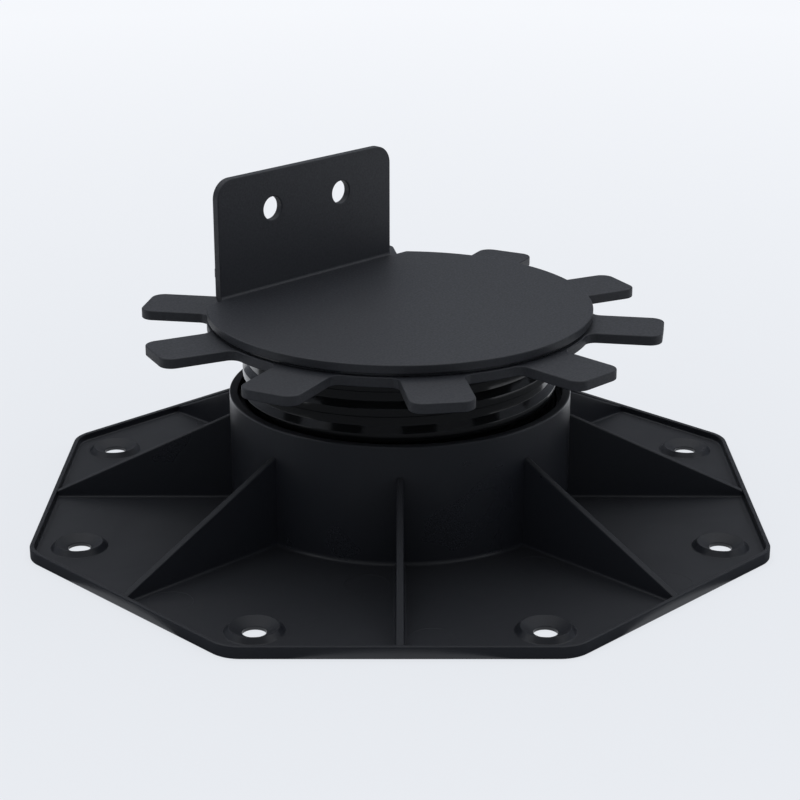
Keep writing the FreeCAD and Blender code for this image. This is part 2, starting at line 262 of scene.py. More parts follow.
def circle(radius, count=TURN, centre=(0.0, 0.0)):
    """Closed loop of points: centre plus radius times (cos, sin) of evenly spaced angles."""
    turn = np.linspace(0.0, 2.0 * math.pi, count, endpoint=False)
    return np.array(centre) + radius * np.stack([np.cos(turn), np.sin(turn)], axis=-1)


def softened(points, radii, closed, steps=ARC_STEPS, hold=HOLD):
    """Polyline with each corner replaced by an arc of its radius.

    The arc touches both legs at radius times the tangent of half the turn,
    and its points are the centre plus the radius turned from one leg's
    normal to the other's. A holding point lies on each leg beside it.
    """
    points = np.asarray(points, float)
    count = len(points)
    made = []
    for i in range(count):
        radius = radii[i]
        is_end = not closed and i in (0, count - 1)
        if is_end or radius <= 0.0:
            made.append(points[i:i + 1])
            continue
        before = points[i] - points[i - 1]
        after = points[(i + 1) % count] - points[i]
        before /= np.linalg.norm(before)
        after /= np.linalg.norm(after)
        turn = math.atan2(before[0] * after[1] - before[1] * after[0], before @ after)
        reach = radius * math.tan(abs(turn) / 2.0)
        start = points[i] - before * reach
        side = math.copysign(1.0, turn)
        inward = side * np.array([-before[1], before[0]])
        centre = start + inward * radius
        facets = max(2, int(math.ceil(steps * abs(turn) / (math.pi / 2.0))))
        sweep = np.linspace(0.0, turn, facets + 1)[:, None]
        arm = -inward * np.cos(sweep) + side * before * np.sin(sweep)
        arc = centre + radius * arm
        if hold > 0.0:
            arc = np.vstack([start - before * hold, arc, arc[-1:] + after * hold])
        made.append(arc)
    return np.vstack(made)


def mitres(loop, closed=True):
    """Outward mitre vectors of a loop or line that runs anticlockwise.

    Each is the sum of the normals of the two sides that meet at the point,
    over one plus their dot product, so that an offset keeps sides parallel.
    """
    side = np.roll(loop, -1, axis=0) - loop
    side /= np.linalg.norm(side, axis=1, keepdims=True)
    normal = np.stack([side[:, 1], -side[:, 0]], axis=-1)
    other = np.roll(normal, 1, axis=0)
    if not closed:
        other[0] = normal[0]
        normal[-1] = other[-1]
    dot = np.sum(normal * other, axis=1, keepdims=True)
    return (normal + other) / (1.0 + dot)


def carried(loop, profile, closed=True):
    """Grid of a profile of (outset, height) points carried along a loop or line.

    Each point is the loop's point plus its mitre vector times the outset,
    at the profile's height over the loop's plane.
    """
    profile = np.asarray(profile, float)
    out = mitres(loop, closed)
    plan = loop[None] + out[None] * profile[:, None, :1]
    height = np.broadcast_to(profile[:, None, 1:], (*plan.shape[:2], 1))
    return np.concatenate([plan, height], axis=-1)


def turned(profile, centre=(0.0, 0.0), count=TURN):
    """Grid of a profile of (radius, z) points turned about a vertical axis."""
    profile = np.asarray(profile, float)
    ring = circle(1.0, count)
    plan = np.array(centre) + profile[:, None, :1] * ring[None]
    height = np.broadcast_to(profile[:, None, 1:], (*plan.shape[:2], 1))
    return np.concatenate([plan, height], axis=-1)


def sheet_edge(low, high, soft):
    """Profile of a cut sheet's edge, from its underside to its top, as (outset, z)."""
    inner = -2.0 * soft
    corners = [(inner, low), (0.0, low), (0.0, high), (inner, high)]
    edge = softened(corners, [0.0, soft, soft, 0.0], closed=False)
    return edge[1:-1]


class Shell:
    """Gathers grids and flat faces into one mesh, and welds their seams."""

    def __init__(self):
        self.points = []
        self.faces = []
        self.count = 0

    def add(self, points, faces):
        self.points.append(np.asarray(points, float).reshape(-1, 3))
        self.faces += [[index + self.count for index in face] for face in faces]
        self.count += len(self.points[-1])

    def grid(self, grid, closed=True):
        """Quads between neighbouring rows and columns of a grid of points."""
        rows, columns = grid.shape[:2]
        index = np.arange(rows * columns).reshape(rows, columns)
        if closed:
            index = np.concatenate([index, index[:, :1]], axis=1)
        quads = np.stack([index[:-1, :-1], index[:-1, 1:], index[1:, 1:], index[1:, :-1]],
                         axis=-1)
        self.add(grid, quads.reshape(-1, 4).tolist())

    def flat(self, loops):
        """Triangles between an outer loop and the loops of its holes, all in one plane."""
        lines = [[Vector(point) for point in loop] for loop in loops]
        triangles = tessellate_polygon(lines)
        self.add(np.vstack(loops), [list(triangle) for triangle in triangles])

    def object(self, name, material):
        """The finished piece: welded, with its faces turned outwards and smooth."""
        mesh = bpy.data.meshes.new(name)
        mesh.from_pydata(np.vstack(self.points), [], self.faces)
        work = bmesh.new()
        work.from_mesh(mesh)
        bmesh.ops.remove_doubles(work, verts=work.verts, dist=WELD)
        bmesh.ops.dissolve_degenerate(work, edges=work.edges, dist=WELD)
        bmesh.ops.recalc_face_normals(work, faces=work.faces)
        loose = [edge for edge in work.edges if not edge.is_manifold]
        if loose:
            raise RuntimeError(f"{name} has {len(loose)} open or doubled edges")
        work.to_mesh(mesh)
        work.free()
        mesh.shade_smooth()
        mesh.set_sharp_from_angle(angle=SMOOTH_BELOW)
        mesh.materials.append(material)
        piece = bpy.data.objects.new(name, mesh)
        bpy.context.scene.collection.objects.link(piece)
        return piece


def spun(points, degrees):
    """Points turned about Z."""
    turn = math.radians(degrees)
    matrix = np.array([[math.cos(turn), math.sin(turn), 0.0],
                       [-math.sin(turn), math.cos(turn), 0.0], [0.0, 0.0, 1.0]])
    return np.asarray(points) @ matrix


def at_height(loop, height):
    """Plan points of a loop, lifted to a height."""
    return np.column_stack([loop, np.full(len(loop), height)])


# Thread


def stem_flanks(stem, radius):
    """Heights of the two flanks of the stem's ridge at a radius, over its crest's middle."""
    slopes = math.tan(stem.upper_flank), math.tan(stem.lower_flank)
    crest_w = stem.pitch - stem.groove_w - stem.depth * sum(slopes)
    under = stem.thread_d / 2.0 - radius
    return -crest_w / 2.0 - under * slopes[1], crest_w / 2.0 + under * slopes[0]


def nut_flanks(stem, radius):
    """The same of the female ridge, which fills the groove but for the gap at each flank."""
    low, high = stem_flanks(stem, radius)
    return (high + stem.gap / math.cos(stem.upper_flank),
            low + stem.pitch - stem.gap / math.cos(stem.lower_flank))


def ridge_section(stem, flanks, crest_r, root_r, soft):
    """One pitch of a thread's section, as (height, radius) points.

    The ridge is wide at its root and narrow at its crest, as its flanks
    give it, and stands in the middle of the pitch with its edges softened.
    """
    low, high = flanks(stem, crest_r)
    foot_low, foot_high = flanks(stem, root_r)
    start = (foot_low + foot_high - stem.pitch) / 2.0
    corners = [(start, root_r), (foot_low, root_r), (low, crest_r), (high, crest_r),
               (foot_high, root_r), (start + stem.pitch, root_r)]
    return softened(corners, [0.0, soft / 2.0, soft, soft, soft / 2.0, 0.0], closed=False,
                    hold=0.0)


def threaded(stem, section, low, high):
    """Grid of a threaded wall between two levels.

    Along the axis, the section repeats at every pitch, and it climbs by
    one pitch in a turn: height = start + pitch x (turn + whole number)
    + height in the section. Heights past the two levels are held there,
    with the radius that the section has at the cut.
    """
    start = stem.phase_z - stem.pitch * stem.phase / (2.0 * math.pi)
    turn = np.linspace(0.0, 2.0 * math.pi, TURN + 1)
    rise = start + stem.pitch * turn / (2.0 * math.pi)
    first = math.floor((low - rise[-1]) / stem.pitch) - 2
    last = math.ceil((high - rise[0]) / stem.pitch) + 2
    steps = stem.pitch * np.arange(first, last + 1)
    along = (steps[:, None] + section[None, :-1, 0]).ravel()
    radii = np.tile(section[:-1, 1], len(steps))
    height = np.clip(rise[None, :] + along[:, None], low, high)
    radius = np.interp(height - rise[None, :], along, radii)
    return np.stack([radius * np.cos(turn), radius * np.sin(turn), height], axis=-1)


def thread_radii(stem):
    """Crest and root radius of the stem's ridge, then of the female ridge."""
    crest = stem.thread_d / 2.0
    root = crest - stem.depth
    return crest, root, root + stem.gap, crest + stem.gap


# Moulded base

RIM_STRIP = 1.2 * MM        # flat strip beside the rim and the fixing holes
FOOT_STRIP = 0.6 * MM       # flat strip beside the boss's foot and in its mouth
RIB_STRIP = 0.5 * MM        # flat strip beside a rib's foot
RIB_SINK = 0.01 * MM        # how far that strip lies under the plate's top
NUT_SOFT = 0.15 * MM        # radius of the female ridge's edges
MARK_PLACES = ((91.6 * MM, 8.2 * MM), (60.2 * MM, -8.7 * MM))   # along a rib, and aside of it


def flange_outline(size):
    """Octagon with rounded corners. Two neighbouring flats meet where both distances hold."""
    step = 2.0 * math.pi / size.corners
    number = np.arange(size.corners)
    even = number % 2 == 0
    first = np.where(even, size.flats_square, size.flats_diagonal) / 2.0
    second = np.where(even, size.flats_diagonal, size.flats_square) / 2.0
    slant = (second - first * math.cos(step)) / math.sin(step)
    turn = step * number
    corners = np.stack([first * np.cos(turn) - slant * np.sin(turn),
                        first * np.sin(turn) + slant * np.cos(turn)], axis=-1)
    return softened(corners, [size.corner_r] * size.corners, closed=True, steps=20, hold=0.0)


def rib_grid(size, flat):
    """Grid of one rib along +X, whose top slopes from the boss down to the rim.

    Its section has straight drafted sides, softened top edges and a fillet
    at each foot, and is carried outwards while its top comes down.
    """
    spread = math.tan(size.rib_draft)
    half = size.rib_t / 2.0
    foot = half + (size.rib_top - size.plate_t) * spread
    floor = size.plate_t - RIB_SINK
    side = foot + size.rib_foot + RIB_STRIP
    low = size.plate_t / 2.0
    rim_low = size.rim_h - size.rim_soft
    inner = size.boss_r - size.skirt_wall / 2.0
    stations = [(inner, size.rib_top), (size.boss_r, size.rib_top),
                (flat - size.rim_w, rim_low), (flat - size.rim_w / 2.0, rim_low)]
    rows = []
    for along, top in stations:
        wide = half + (size.rib_top - top) * spread
        corners = [(-side, low), (side, low), (side, floor), (foot, floor), (wide, top),
                   (-wide, top), (-foot, floor), (-side, floor)]
        radii = [0.0, 0.0, 0.0, size.rib_foot, size.rib_soft, size.rib_soft, size.rib_foot, 0.0]
        section = softened(corners, radii, closed=True)
        rows.append(np.column_stack([np.full(len(section), along), section]))
    return np.stack(rows)


def hole_profile(size):
    """Section of a raised fixing hole, from the plate over its lip down to the underside."""
    sink = size.sink_d / 2.0
    throat = size.hole_d / 2.0
    top = sink + size.hole_lip
    foot = top + size.hole_flare
    sunk = size.hole_h - (sink - throat) / math.tan(size.sink_angle / 2.0)
    corners = [(foot + RIM_STRIP, size.plate_t), (foot, size.plate_t), (top, size.hole_h),
               (sink, size.hole_h), (throat, sunk), (throat, 0.0), (throat + 0.6 * MM, 0.0)]
    radii = [0.0, 0.5 * MM, 0.12 * MM, 0.1 * MM, 0.25 * MM, 0.15 * MM, 0.0]
    return softened(corners, radii, closed=False, hold=0.08 * MM)


def mark_profile(size):
    """Section of a shallow round recess that an ejector pin leaves."""
    edge = size.mark_d / 2.0
    corners = [(edge + 0.3 * MM, size.plate_t), (edge, size.plate_t),
               (edge - 0.1 * MM, size.plate_t - size.mark_depth),
               (edge - 0.4 * MM, size.plate_t - size.mark_depth)]
    return softened(corners, [0.0, 0.1 * MM, 0.1 * MM, 0.0], closed=False, hold=0.01 * MM)


def build_base(shell, size, stem):
    """Flange with rim, raised holes and marks, ribs, and the boss with its thread."""
    outline = flange_outline(size)
    rim_corners = [(-RIM_STRIP, 0.0), (0.0, 0.0), (0.0, size.rim_h), (-size.rim_w, size.rim_h),
                   (-size.rim_w, size.plate_t), (-size.rim_w - RIM_STRIP, size.plate_t)]
    rim_radii = [0.0, 0.3 * MM, size.rim_soft, size.rim_soft, 0.6 * MM, 0.0]
    rim = carried(outline, softened(rim_corners, rim_radii, closed=False))
    shell.grid(rim)

    _, _, nut_crest, nut_root = thread_radii(stem)
    section = ridge_section(stem, nut_flanks, nut_crest, nut_root, NUT_SOFT)
    thread_high = size.boss_h - size.mouth_depth
    thread_low = thread_high - size.thread_h
    wall = threaded(stem, section, thread_low, thread_high)
    shell.grid(wall, closed=False)

    mouth = size.boss_r - size.mouth_wall
    boss_corners = [(size.boss_r + size.boss_foot + FOOT_STRIP, size.plate_t),
                    (size.boss_r, size.plate_t), (size.boss_r, size.boss_h),
                    (mouth, size.boss_h), (mouth, thread_high),
                    (nut_root + FOOT_STRIP, thread_high)]
    boss_radii = [0.0, size.boss_foot, size.boss_soft, size.boss_soft, 0.3 * MM, 0.0]
    boss = turned(softened(boss_corners, boss_radii, closed=False))
    shell.grid(boss)
    shell.grid(np.stack([boss[-1], wall[-1, :-1]]))

    skirt = size.boss_r - size.skirt_wall
    cone = skirt - nut_root
    skirt_corners = [(nut_root + 0.2 * MM, thread_low), (skirt, thread_low - cone), (skirt, 0.0),
                     (skirt + 0.8 * MM, 0.0)]
    lower = turned(softened(skirt_corners, [0.0, 0.5 * MM, 0.3 * MM, 0.0], closed=False))
    shell.grid(np.stack([wall[0, :-1], lower[0]]))
    shell.grid(lower)

    flats = (size.flats_square / 2.0, size.flats_diagonal / 2.0)
    out = (sum(flats) / 2.0 - size.hole_inset) / math.cos(math.pi / size.corners)
    step = 360.0 / size.corners
    holes = []
    for i in range(size.corners):
        hole = turned(hole_profile(size), (out, 0.0), FIXING_HOLE_TURN)
        hole = spun(hole, step * (i + 0.5))
        shell.grid(hole)
        holes.append(hole)
    marks = []
    for i in range(size.corners):
        for place in MARK_PLACES:
            mark = spun(turned(mark_profile(size), place, SMALL_TURN), step * i)
            shell.grid(mark)
            shell.flat([mark[-1]])
            marks.append(mark)
    shell.flat([rim[-1], boss[0]] + [hole[0] for hole in holes] + [mark[0] for mark in marks])
    shell.flat([rim[0], lower[-1]] + [hole[-1] for hole in holes])

    for i in range(size.corners):
        rib = spun(rib_grid(size, flats[i % 2]), step * i)
        shell.grid(rib)
        shell.flat([rib[0]])
        shell.flat([rib[-1]])


# Screw stem


def hexagon(across_flats):
    """Closed loop of a hexagon with a corner on X."""
    return circle(across_flats / math.sqrt(3.0), 6)


def build_stem(shell, size, low, spigot_top):
    """Threaded outer wall, hollow inside, closed top and hexagonal spigot."""
    crest, root, _, _ = thread_radii(size)
    section = ridge_section(size, stem_flanks, crest, root, size.soft)
    wall = threaded(size, section, low + size.chamfer, size.top)
    shell.grid(wall, closed=False)
    bore = root - size.wall
    closed_at = size.top - size.top_wall
    corners = [(root - 0.1 * MM, low + size.chamfer), (root - size.chamfer, low), (bore, low),
               (bore, closed_at), (size.stud_r, closed_at), (size.stud_r, spigot_top)]
    inside = turned(softened(corners, [0.0, 0.2 * MM, 0.4 * MM, 1.5 * MM, 0.2 * MM, 0.0],
                             closed=False))
    shell.grid(np.stack([wall[0, :-1], inside[0]]))
    shell.grid(inside)
    spigot = carried(hexagon(size.spigot_af), [(0.0, size.top), (0.0, spigot_top)])
    shell.grid(spigot)
    shell.flat([wall[-1, :-1], spigot[0]])
    shell.flat([spigot[-1], inside[-1]])


# Tabbed plate


def tab_outline(size):
    """Closed outline of the plate: each half tab is a corner arc, a side, a root arc and the ring.

    The root's centre is one root radius off both the ring and the tab's
    side, so its arc touches both. The other half is its mirror image.
    """
    ring = size.ring_d / 2.0
    half = size.tab_w / 2.0
    corner = size.corner_r
    root = size.root_r
    across = half + root
    away = math.sqrt((ring + root) ** 2 - across ** 2)
    lean = math.atan2(across, away)

    def arc(centre, radius, first, last, facets):
        """Points of an arc: centre plus radius times (cos, sin) of the angles between two."""
        turn = np.linspace(first, last, facets + 1)
        return np.array(centre) + radius * np.stack([np.cos(turn), np.sin(turn)], axis=-1)

    quarter = math.pi / 2.0
    upper = np.vstack([
        arc((size.tip_d / 2.0 - corner, half - corner), corner, 0.0, quarter, 12),
        arc((away, across), root, -quarter, lean - math.pi, 10),
        arc((0.0, 0.0), ring, lean, math.pi / size.tabs, 10)[1:],
    ])
    tab = np.vstack([upper[::-1] * (1.0, -1.0), upper])[1:]
    turns = np.degrees(size.first) + 360.0 / size.tabs * np.arange(size.tabs)
    return np.vstack([spun(at_height(tab, 0.0), turn)[:, :2] for turn in turns])


def build_tab_plate(shell, size, stem, low, high):
    """Flat plate with softened edges and a hexagonal hole for the spigot."""
    edge = carried(tab_outline(size), sheet_edge(low, high, size.soft))
    hole = carried(hexagon(stem.spigot_af + 2.0 * size.spigot_gap), [(0.0, low), (0.0, high)])
    shell.grid(edge)
    shell.grid(hole)
    shell.flat([edge[0], hole[0]])
    shell.flat([edge[-1], hole[-1]])


# Slip disc and joist bracket


def build_slip_disc(shell, radius, hole_r, low, high, soft):
    """Thin disc with a hole for the pivot stud."""
    edge = carried(circle(radius), sheet_edge(low, high, soft))
    hole = turned([(hole_r, low), (hole_r, high)], count=SMALL_TURN)
    shell.grid(edge)
    shell.grid(hole)
    shell.flat([edge[0], hole[0]])
    shell.flat([edge[-1], hole[-1]])


def build_bracket_disc(shell, size, radius, bend_y, low, high):
    """Disc cut by a chord. Its arc runs round from one end of the chord to the other."""
    lean = math.asin(bend_y / radius)
    turn = np.linspace(math.pi - lean, 2.0 * math.pi + lean, TURN)
    arc = radius * np.stack([np.cos(turn), np.sin(turn)], axis=-1)
    radii = [size.chord_corner] + [0.0] * (TURN - 2) + [size.chord_corner]
    outline = softened(arc, radii, closed=True, steps=12, hold=0.0)
    edge = carried(outline, sheet_edge(low, high, size.soft))
    shell.grid(edge)
    shell.flat([edge[0]])
    shell.flat([edge[-1]])


def build_upright(shell, size, bend_y, disc_top, top):
    """Strip that leaves the disc, bends up through a right angle and stands with two holes.

    In the bend, a point at depth t under the inner face is at the bend's
    centre plus (bend radius + t) times (sin, -cos) of the angle turned.
    """
    half = size.upright_w / 2.0
    edge = sheet_edge(0.0, size.sheet_t, size.soft)
    section = np.vstack([edge + (half, 0.0), edge[::-1] * (-1.0, 1.0) - (half, 0.0)])
    across = section[:, 0]
    depth = section[:, 1]
    centre_z = disc_top + size.bend_r
    rows = [np.column_stack([across, np.full(len(across), bend_y - size.soft),
                             disc_top - depth])]
    for turn in np.linspace(0.0, math.pi / 2.0, 11):
        rows.append(np.column_stack([across, bend_y + (size.bend_r + depth) * math.sin(turn),
                                     centre_z - (size.bend_r + depth) * math.cos(turn)]))
    bend = np.stack(rows)
    shell.grid(bend)
    shell.flat([bend[0]])

    outline = softened([(half, centre_z), (half, top), (-half, top), (-half, centre_z)],
                       [0.0, size.upright_corner, size.upright_corner, 0.0], closed=False,
                       steps=14, hold=0.0)
    swap = [0, 2, 1]
    face_y = np.array([0.0, bend_y + size.bend_r, 0.0])
    border = carried(outline, edge, closed=False)[..., swap] + face_y
    shell.grid(border, closed=False)
    holes = []
    for side in (-1.0, 1.0):
        centre = (side * size.hole_spacing / 2.0, top - size.hole_drop)
        inward = edge * (-1.0, 1.0) + (size.hole_d / 2.0, 0.0)
        hole = turned(inward, centre, SCREW_HOLE_TURN)[..., swap] + face_y
        shell.grid(hole)
        holes.append(hole)
    shell.flat([border[0]] + [hole[0] for hole in holes])
    shell.flat([border[-1]] + [hole[-1] for hole in holes])


# Materials


def add(tree, kind, values=None, links=None, **settings):
    """Adds one node with its settings, the values of its inputs and the sockets that feed it."""
    made = tree.nodes.new(kind)
    for name, value in settings.items():
        setattr(made, name, value)
    for name, value in (values or {}).items():
        made.inputs[name].default_value = value
    for name, socket in (links or {}).items():
        tree.links.new(socket, made.inputs[name])
    return made


def begun(name):
    """A material with an empty node tree, and the Object coordinates that its patterns read."""
    material = bpy.data.materials.new(name)
    material.use_nodes = True
    tree = material.node_tree
    tree.nodes.clear()
    place = add(tree, "ShaderNodeTexCoord").outputs["Object"]
    return material, tree, place


def shades(shade, darker, paler):
    """A colour made darker and paler by two factors, for the ends of a pattern."""
    level = np.array(shade[:3])
    return (*(level * darker), 1.0), (*np.minimum(level * paler, 1.0), 1.0)


def noise(tree, place, width, **values):
    """Noise from 0 to 1 whose blots are as wide as a length in metres."""
    values["Scale"] = 1.0 / width
    return add(tree, "ShaderNodeTexNoise", values, {"Vector": place}).outputs["Fac"]


def drawn_out(tree, place, scale):
    """Coordinates scaled along each axis, for a pattern with a direction."""
    return add(tree, "ShaderNodeMapping", {"Scale": scale}, {"Vector": place}).outputs["Vector"]


def ranged(tree, pattern, low, high):
    """The usual span of a noise, carried over to the span between two values."""
    values = {"From Min": NOISE_LOW, "From Max": NOISE_HIGH, "To Min": low, "To Max": high}
    return add(tree, "ShaderNodeMapRange", values, {"Value": pattern}).outputs["Result"]


def mixed(tree, share, first, second):
    """Colour between two others, by a share from 0 to 1."""
    mix = add(tree, "ShaderNodeMix", {MIX_A: first, MIX_B: second}, {MIX_SHARE: share},
              data_type="RGBA")
    return mix.outputs[MIX_OUT]


def raised(tree, pattern, height):
    """Normal of a surface that a pattern raises by up to a height."""
    values = {"Strength": 1.0, "Distance": height}
    return add(tree, "ShaderNodeBump", values, {"Height": pattern}).outputs["Normal"]


def surfaced(tree, tint, gloss, normal, **values):
    """Ends a material with its shader, whose own sockets hold what doesn't vary."""
    shader = add(tree, "ShaderNodeBsdfPrincipled", values,
                 {"Base Color": tint, "Roughness": gloss, "Normal": normal})
    add(tree, "ShaderNodeOutputMaterial", None, {"Surface": shader.outputs["BSDF"]})


def moulded_polypropylene(shade):
    """Black polypropylene, injection moulded.

    The mould's flat faces are spark-eroded, which leaves the plate matt with
    a fine even grain. Its upright faces are polished along the draw, so the
    boss and the ribs keep some gloss. The melt's flow changes it faintly.
    The real grain is 0.2 mm wide. It is drawn 0.5 mm wide to show at all.
    """
    material, tree, place = begun("moulded_polypropylene")
    flow = noise(tree, place, 26.0 * MM, Detail=3.0, Distortion=0.8)
    grain = noise(tree, place, 0.5 * MM, Detail=2.0)
    facing = add(tree, "ShaderNodeSeparateXYZ", None,
                 {"Vector": add(tree, "ShaderNodeTexCoord").outputs["Normal"]})
    level = add(tree, "ShaderNodeMath", None, {0: facing.outputs["Z"]}, operation="ABSOLUTE")
    matt = add(tree, "ShaderNodeMapRange", {"From Min": 0.6, "From Max": 0.98, "To Min": 0.3,
                                            "To Max": 0.66}, {"Value": level.outputs["Value"]})
    gloss = add(tree, "ShaderNodeMath", None,
                {0: matt.outputs["Result"], 1: ranged(tree, flow, -0.04, 0.04)}, operation="ADD")
    tint = mixed(tree, grain, *shades(shade, 0.8, 1.25))
    surfaced(tree, tint, gloss.outputs["Value"], raised(tree, grain, 0.012 * MM), IOR=1.49)
    return material


def moulded_polyamide(shade):
    """Black glass-filled polyamide, injection moulded against polished steel.

    The polished mould gives the thread a smooth, wet gloss. Glass fibres
    near the skin leave short, slightly duller streaks, 1.5 mm long.
    """
    material, tree, place = begun("moulded_polyamide")
    fibres = noise(tree, drawn_out(tree, place, (1.0, 1.0, 3.0)), 1.5 * MM, Detail=3.0)
    tint = mixed(tree, fibres, *shades(shade, 0.85, 1.3))
    gloss = ranged(tree, fibres, 0.1, 0.17)
    surfaced(tree, tint, gloss, raised(tree, fibres, 0.002 * MM), IOR=1.53)
    return material


def powder_coat(shade):
    """Black fine-texture powder coat, sprayed on sheet steel and baked.

    The baked powder is matt, with a close leathery texture of bumps 0.3 mm
    across. They are drawn 0.6 mm across to show as a fine speckle, and
    their tops are a little glossier than the dips between them.
    """
    material, tree, place = begun("powder_coat")
    bumps = noise(tree, place, 0.6 * MM, Detail=2.0, Roughness=0.6)
    tint = mixed(tree, bumps, *shades(shade, 0.7, 1.3))
    gloss = ranged(tree, bumps, 0.6, 0.46)
    surfaced(tree, tint, gloss, raised(tree, bumps, 0.02 * MM), IOR=1.5)
    return material


def polyethylene_sheet(shade):
    """Dark polyethylene sheet, rolled smooth and stamped out.

    Rolling leaves an even waxy gloss with faint streaks 4 mm apart along
    the direction in which the sheet was drawn.
    """
    material, tree, place = begun("polyethylene_sheet")
    streaks = noise(tree, drawn_out(tree, place, (1.0, 0.06, 1.0)), 4.0 * MM, Detail=3.0)
    tint = mixed(tree, streaks, *shades(shade, 0.85, 1.15))
    gloss = ranged(tree, streaks, 0.18, 0.28)
    surfaced(tree, tint, gloss, raised(tree, streaks, 0.004 * MM), IOR=1.51)
    return material


def zinc_plate(shade):
    """Bright zinc, electroplated on steel and passivated.

    The plating follows the turned steel, so it has a soft metallic gloss
    with cloudy patches 3 mm wide where the passivation dried unevenly.
    """
    material, tree, place = begun("zinc_plate")
    cloud = noise(tree, place, 3.0 * MM, Detail=4.0)
    tint = mixed(tree, cloud, *shades(shade, 0.82, 1.08))
    gloss = ranged(tree, cloud, 0.28, 0.44)
    surfaced(tree, tint, gloss, raised(tree, cloud, 0.004 * MM), Metallic=1.0)
    return material


def seen_directly(tree):
    """1 on camera, glossy and transmission rays and 0 on all others, as one socket."""
    path = add(tree, "ShaderNodeLightPath")
    seen = add(tree, "ShaderNodeMath", None, {0: path.outputs["Is Camera Ray"],
                                              1: path.outputs["Is Glossy Ray"]},
               operation="MAXIMUM")
    seen = add(tree, "ShaderNodeMath", None, {0: seen.outputs["Value"],
                                              1: path.outputs["Is Transmission Ray"]},
               operation="MAXIMUM")
    return seen.outputs["Value"]


def floor_board(near, far, reach, even):
    """Matt white-painted board, lit from below, which keeps a share of the shadow.

    Its white gets paler away from the pedestal. The even light from below
    only shows on the rays that see it directly.
    """
    material, tree, place = begun("painted_board")
    distance = add(tree, "ShaderNodeVectorMath", None, {0: place}, operation="LENGTH")
    share = add(tree, "ShaderNodeMapRange", {"From Min": FADE_START, "From Max": reach},
                {"Value": distance.outputs["Value"]})
    tint = mixed(tree, share.outputs["Result"], tuple(near), tuple(far))
    paint = add(tree, "ShaderNodeBsdfDiffuse", None, {"Color": tint})
    glow = add(tree, "ShaderNodeEmission", {"Strength": 1.0}, {"Color": tint})
    part = add(tree, "ShaderNodeMath", {1: even}, {0: seen_directly(tree)}, operation="MULTIPLY")
    both = add(tree, "ShaderNodeMixShader", None, {0: part.outputs["Value"],
                                                   1: paint.outputs["BSDF"],
                                                   2: glow.outputs["Emission"]})
    add(tree, "ShaderNodeOutputMaterial", None, {"Surface": both.outputs["Shader"]})
    return material


def reflection_only_card(name, shade):
    """Matt grey board with a faint paper grain, for cards that only show in reflections: painted
    dark reflections that tone down the room in the gloss.
    """
    material, tree, place = begun(name)
    tint = mixed(tree, noise(tree, place, 3.0 * MM), *shades(shade, 0.96, 1.04))
    shader = add(tree, "ShaderNodeBsdfDiffuse", None, {"Color": tint})
    add(tree, "ShaderNodeOutputMaterial", None, {"Surface": shader.outputs["BSDF"]})
    return material


# Stage

SENSOR_WIDTH = 36.0                     # in millimetres, as the lens
CLIP_START = 0.01
FLOOR_DROP = 0.02 * MM                  # from the base's underside down to the floor
CARD_POINTS = 49                        # points along a card's arc
KEY_PLACE, KEY_SIDE = (0.0, 0.25, 1.5), 1.2
FILL_PLACE, FILL_SIDE = (0.7, -0.35, 0.5), 0.5
LIT_POINT = (0.0, 0.0, 0.03)            # where both lamps point


def set_camera(scene, size):
    """Camera that sees the pedestal as the photograph does."""
    camera = bpy.data.objects.new("camera", bpy.data.cameras.new("camera"))
    scene.collection.objects.link(camera)
    camera.data.lens = size.lens
    camera.data.sensor_width = SENSOR_WIDTH
    camera.data.clip_start = CLIP_START
    camera.location = (size.camera_x, size.camera_y, size.camera_z)
    camera.rotation_euler = (math.pi / 2.0 - size.pitch, 0.0, size.heading - math.pi / 2.0)
    scene.camera = camera


def board(name, points, faces, material):
    """Object of plain faces, linked to the scene."""
    mesh = bpy.data.meshes.new(name)
    mesh.from_pydata(points, [], faces)
    mesh.materials.append(material)
    piece = bpy.data.objects.new(name, mesh)
    bpy.context.scene.collection.objects.link(piece)
    return piece


def lay_floor(size, finish):
    """One wide square just under the base."""
    half = size.floor_size / 2.0
    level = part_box("base")[0].z - FLOOR_DROP
    corners = [(-half, -half, level), (half, -half, level), (half, half, level),
               (-half, half, level)]
    paint = floor_board(finish.floor_near, finish.floor_far, size.floor_fade, size.floor_even)
    floor = board("floor", corners, [(0, 1, 2, 3)], paint)


def stand_reflection_cards(size, finish):
    """Cards that only show in the gloss, as painted dark reflections.

    One lies round the base, a dark screen stands round the camera and a
    paler one round the back. Each is a profile of (radius, height) points
    carried along an arc about the axis.
    """
    for name, shade, towards, spread_angle, profile in (
            ("near_reflection_card", finish.reflection_card_dark, math.pi, size.card_spread,
             ((size.card_near, size.card_lift), (size.card_middle, size.card_lift))),
            ("dark_reflection_screen", finish.reflection_card_dark, math.pi, size.screen_spread,
             ((size.card_middle, size.card_lift), (size.screen_out, size.card_lift),
              (size.screen_out, size.screen_top))),
            ("grey_reflection_screen", finish.reflection_card_grey, 0.0, math.pi - size.screen_spread,
             ((size.screen_out, size.card_lift), (size.screen_out, size.grey_top))),
    ):
        turn = size.heading + towards + np.linspace(-spread_angle, spread_angle, CARD_POINTS)
        ring = np.stack([np.cos(turn), np.sin(turn)], axis=-1)
        rows = [at_height(ring * radius, height) for radius, height in profile]
        faces = [(k, k + 1, k + 1 + CARD_POINTS, k + CARD_POINTS)
                 for k in range(CARD_POINTS * (len(rows) - 1)) if (k + 1) % CARD_POINTS]
        piece = board(name, np.vstack(rows), faces, reflection_only_card(name, shade))
        # Painted dark reflections: the cards are hidden from the camera, from diffuse light and
        # from shadows, so they only darken what the glossy pieces reflect.
        piece.visible_camera = False
        piece.visible_diffuse = False
        piece.visible_shadow = False


